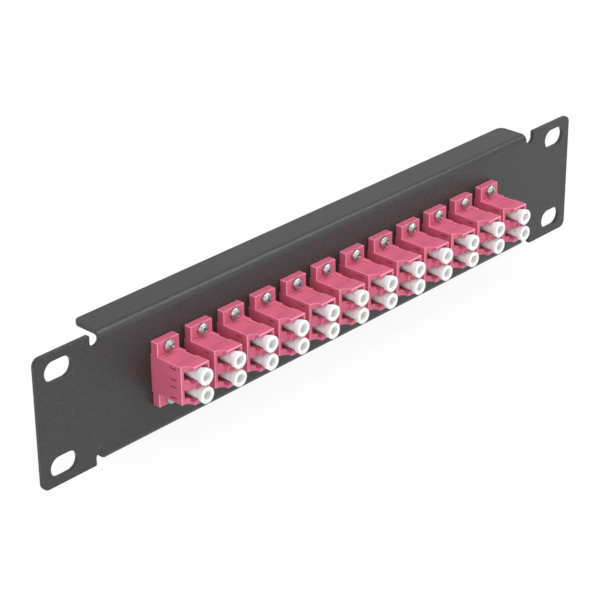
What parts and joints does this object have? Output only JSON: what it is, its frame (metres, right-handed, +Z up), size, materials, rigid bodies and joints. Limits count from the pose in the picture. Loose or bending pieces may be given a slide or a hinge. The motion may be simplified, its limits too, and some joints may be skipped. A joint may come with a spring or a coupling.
{
  "type": "fibre patch panel",
  "caption": "Half-rack patch panel, one unit high: a folded black steel plate with rack slots that carries a row of screwed-in duplex fibre adapters, each port closed by a pull-out dust cap.",
  "frame": {"origin": "middle of the panel's rear face, between the four rack slots", "axes": "X along the panel, +Y from the front to the back, +Z up"},
  "size_m": [0.254, 0.0341, 0.044],
  "materials": {
    "powder_coat": "fine-textured black powder coat on steel",
    "violet_plastic": "moulded heather violet plastic, satin",
    "white_plastic": "soft white moulded plastic",
    "nickel": "bright nickel plate on steel",
    "zirconia": "ground zirconia"
  },
  "bodies": {
    "panel_assembly": {"panel": "powder_coat", "adapter_01_front": "violet_plastic", "adapter_02_front": "violet_plastic", "adapter_03_front": "violet_plastic", "adapter_04_front": "violet_plastic", "adapter_05_front": "violet_plastic", "adapter_06_front": "violet_plastic", "adapter_07_front": "violet_plastic", "adapter_08_front": "violet_plastic", "adapter_09_front": "violet_plastic", "adapter_10_front": "violet_plastic", "adapter_11_front": "violet_plastic", "adapter_12_front": "violet_plastic", "adapter_01_rear": "violet_plastic", "adapter_02_rear": "violet_plastic", "adapter_03_rear": "violet_plastic", "adapter_04_rear": "violet_plastic", "adapter_05_rear": "violet_plastic", "adapter_06_rear": "violet_plastic", "adapter_07_rear": "violet_plastic", "adapter_08_rear": "violet_plastic", "adapter_09_rear": "violet_plastic", "adapter_10_rear": "violet_plastic", "adapter_11_rear": "violet_plastic", "adapter_12_rear": "violet_plastic", "ferrule_sleeves": "zirconia", "adapter_screws": "nickel", "rear_dust_caps": "white_plastic"},
    "dust_cap_01_upper": {"dust_cap_01_upper": "white_plastic"},
    "dust_cap_01_lower": {"dust_cap_01_lower": "white_plastic"},
    "dust_cap_02_upper": {"dust_cap_02_upper": "white_plastic"},
    "dust_cap_02_lower": {"dust_cap_02_lower": "white_plastic"},
    "dust_cap_03_upper": {"dust_cap_03_upper": "white_plastic"},
    "dust_cap_03_lower": {"dust_cap_03_lower": "white_plastic"},
    "dust_cap_04_upper": {"dust_cap_04_upper": "white_plastic"},
    "dust_cap_04_lower": {"dust_cap_04_lower": "white_plastic"},
    "dust_cap_05_upper": {"dust_cap_05_upper": "white_plastic"},
    "dust_cap_05_lower": {"dust_cap_05_lower": "white_plastic"},
    "dust_cap_06_upper": {"dust_cap_06_upper": "white_plastic"},
    "dust_cap_06_lower": {"dust_cap_06_lower": "white_plastic"},
    "dust_cap_07_upper": {"dust_cap_07_upper": "white_plastic"},
    "dust_cap_07_lower": {"dust_cap_07_lower": "white_plastic"},
    "dust_cap_08_upper": {"dust_cap_08_upper": "white_plastic"},
    "dust_cap_08_lower": {"dust_cap_08_lower": "white_plastic"},
    "dust_cap_09_upper": {"dust_cap_09_upper": "white_plastic"},
    "dust_cap_09_lower": {"dust_cap_09_lower": "white_plastic"},
    "dust_cap_10_upper": {"dust_cap_10_upper": "white_plastic"},
    "dust_cap_10_lower": {"dust_cap_10_lower": "white_plastic"},
    "dust_cap_11_upper": {"dust_cap_11_upper": "white_plastic"},
    "dust_cap_11_lower": {"dust_cap_11_lower": "white_plastic"},
    "dust_cap_12_upper": {"dust_cap_12_upper": "white_plastic"},
    "dust_cap_12_lower": {"dust_cap_12_lower": "white_plastic"}
  },
  "joints": [
    {"name": "dust_cap_01_upper_pull", "type": "slide", "parent": "panel_assembly", "child": "dust_cap_01_upper", "axis": [0, -1, 0], "range_m": [0, 0.016]},
    {"name": "dust_cap_01_lower_pull", "type": "slide", "parent": "panel_assembly", "child": "dust_cap_01_lower", "axis": [0, -1, 0], "range_m": [0, 0.016]},
    {"name": "dust_cap_02_upper_pull", "type": "slide", "parent": "panel_assembly", "child": "dust_cap_02_upper", "axis": [0, -1, 0], "range_m": [0, 0.016]},
    {"name": "dust_cap_02_lower_pull", "type": "slide", "parent": "panel_assembly", "child": "dust_cap_02_lower", "axis": [0, -1, 0], "range_m": [0, 0.016]},
    {"name": "dust_cap_03_upper_pull", "type": "slide", "parent": "panel_assembly", "child": "dust_cap_03_upper", "axis": [0, -1, 0], "range_m": [0, 0.016]},
    {"name": "dust_cap_03_lower_pull", "type": "slide", "parent": "panel_assembly", "child": "dust_cap_03_lower", "axis": [0, -1, 0], "range_m": [0, 0.016]},
    {"name": "dust_cap_04_upper_pull", "type": "slide", "parent": "panel_assembly", "child": "dust_cap_04_upper", "axis": [0, -1, 0], "range_m": [0, 0.016]},
    {"name": "dust_cap_04_lower_pull", "type": "slide", "parent": "panel_assembly", "child": "dust_cap_04_lower", "axis": [0, -1, 0], "range_m": [0, 0.016]},
    {"name": "dust_cap_05_upper_pull", "type": "slide", "parent": "panel_assembly", "child": "dust_cap_05_upper", "axis": [0, -1, 0], "range_m": [0, 0.016]},
    {"name": "dust_cap_05_lower_pull", "type": "slide", "parent": "panel_assembly", "child": "dust_cap_05_lower", "axis": [0, -1, 0], "range_m": [0, 0.016]},
    {"name": "dust_cap_06_upper_pull", "type": "slide", "parent": "panel_assembly", "child": "dust_cap_06_upper", "axis": [0, -1, 0], "range_m": [0, 0.016]},
    {"name": "dust_cap_06_lower_pull", "type": "slide", "parent": "panel_assembly", "child": "dust_cap_06_lower", "axis": [0, -1, 0], "range_m": [0, 0.016]},
    {"name": "dust_cap_07_upper_pull", "type": "slide", "parent": "panel_assembly", "child": "dust_cap_07_upper", "axis": [0, -1, 0], "range_m": [0, 0.016]},
    {"name": "dust_cap_07_lower_pull", "type": "slide", "parent": "panel_assembly", "child": "dust_cap_07_lower", "axis": [0, -1, 0], "range_m": [0, 0.016]},
    {"name": "dust_cap_08_upper_pull", "type": "slide", "parent": "panel_assembly", "child": "dust_cap_08_upper", "axis": [0, -1, 0], "range_m": [0, 0.016]},
    {"name": "dust_cap_08_lower_pull", "type": "slide", "parent": "panel_assembly", "child": "dust_cap_08_lower", "axis": [0, -1, 0], "range_m": [0, 0.016]},
    {"name": "dust_cap_09_upper_pull", "type": "slide", "parent": "panel_assembly", "child": "dust_cap_09_upper", "axis": [0, -1, 0], "range_m": [0, 0.016]},
    {"name": "dust_cap_09_lower_pull", "type": "slide", "parent": "panel_assembly", "child": "dust_cap_09_lower", "axis": [0, -1, 0], "range_m": [0, 0.016]},
    {"name": "dust_cap_10_upper_pull", "type": "slide", "parent": "panel_assembly", "child": "dust_cap_10_upper", "axis": [0, -1, 0], "range_m": [0, 0.016]},
    {"name": "dust_cap_10_lower_pull", "type": "slide", "parent": "panel_assembly", "child": "dust_cap_10_lower", "axis": [0, -1, 0], "range_m": [0, 0.016]},
    {"name": "dust_cap_11_upper_pull", "type": "slide", "parent": "panel_assembly", "child": "dust_cap_11_upper", "axis": [0, -1, 0], "range_m": [0, 0.016]},
    {"name": "dust_cap_11_lower_pull", "type": "slide", "parent": "panel_assembly", "child": "dust_cap_11_lower", "axis": [0, -1, 0], "range_m": [0, 0.016]},
    {"name": "dust_cap_12_upper_pull", "type": "slide", "parent": "panel_assembly", "child": "dust_cap_12_upper", "axis": [0, -1, 0], "range_m": [0, 0.016]},
    {"name": "dust_cap_12_lower_pull", "type": "slide", "parent": "panel_assembly", "child": "dust_cap_12_lower", "axis": [0, -1, 0], "range_m": [0, 0.016]}
  ]
}
